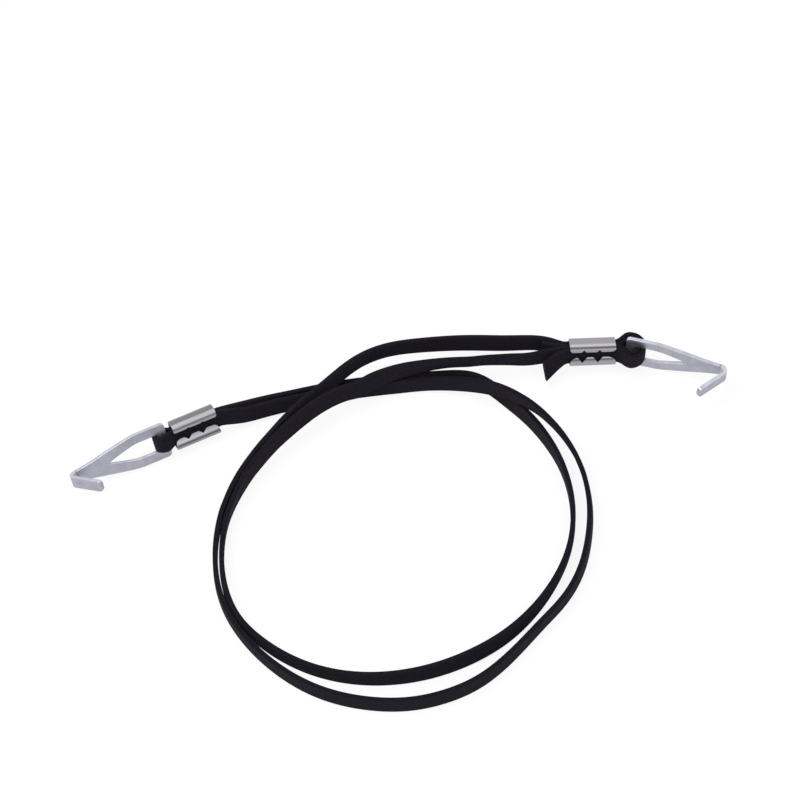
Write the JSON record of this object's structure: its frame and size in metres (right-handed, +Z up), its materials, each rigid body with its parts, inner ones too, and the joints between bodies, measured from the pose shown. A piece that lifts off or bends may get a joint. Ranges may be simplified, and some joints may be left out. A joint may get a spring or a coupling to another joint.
{
  "type": "elastic tie-down strap",
  "caption": "Flat woven elastic strap laid in one loop of two strands, crimped at each end in a metal ferrule round the bar of a stamped steel hook.",
  "frame": {"origin": "centre of the base, on the surface that the strap lies on", "axes": "+X towards the end with the folded tails, along the longest side; +Y away from the viewer; +Z up"},
  "size_m": [0.323, 0.2036, 0.0201],
  "materials": {
    "woven_cover": "matte, fine lengthwise ribs",
    "rubber_core": "matte",
    "hook_steel": "zinc plated, satin",
    "ferrule_steel": "plated, bright"
  },
  "bodies": {
    "loop": {"outer_run_loop_cover": "woven_cover", "outer_run_loop_core": "rubber_core", "inner_run_loop_cover": "woven_cover", "inner_run_loop_core": "rubber_core", "outer_run_right_leg_cover": "woven_cover", "outer_run_right_leg_core": "rubber_core", "inner_run_right_leg_cover": "woven_cover", "inner_run_right_leg_core": "rubber_core", "outer_run_left_leg_cover": "woven_cover", "outer_run_left_leg_core": "rubber_core", "inner_run_left_leg_cover": "woven_cover", "inner_run_left_leg_core": "rubber_core"},
    "right_end": {"right_ferrule": "ferrule_steel", "outer_run_right_eye_cover": "woven_cover", "outer_run_right_eye_core": "rubber_core", "inner_run_right_eye_cover": "woven_cover", "inner_run_right_eye_core": "rubber_core"},
    "left_end": {"left_ferrule": "ferrule_steel", "left_eye_cover": "woven_cover", "left_eye_core": "rubber_core"},
    "right_hook": {"right_hook": "hook_steel"},
    "left_hook": {"left_hook": "hook_steel"}
  },
  "joints": [
    {"name": "right_stretch", "type": "slide", "parent": "loop", "child": "right_end", "axis": [0.999, 0.0436, 0], "range_m": [0, 0.085], "stiffness_N_per_m": 300, "deforming": ["outer_run_right_leg_cover", "outer_run_right_leg_core", "inner_run_right_leg_cover", "inner_run_right_leg_core"]},
    {"name": "left_stretch", "type": "slide", "parent": "loop", "child": "left_end", "axis": [-0.8949, -0.4462, 0], "range_m": [0, 0.038], "stiffness_N_per_m": 600, "deforming": ["outer_run_left_leg_cover", "outer_run_left_leg_core", "inner_run_left_leg_cover", "inner_run_left_leg_core"]},
    {"name": "right_hook_swing", "type": "hinge", "parent": "right_end", "child": "right_hook", "pos_m": [0.11437, 0.09292, 0.00975], "axis": [-0.0038, 0.0871, 0.9962], "range_deg": [-75, 110]},
    {"name": "left_hook_swing", "type": "hinge", "parent": "left_end", "child": "left_hook", "pos_m": [-0.11734, 0.04047, 0.00935], "axis": [-0.2095, 0.4201, 0.8829], "range_deg": [-110, 110]}
  ]
}
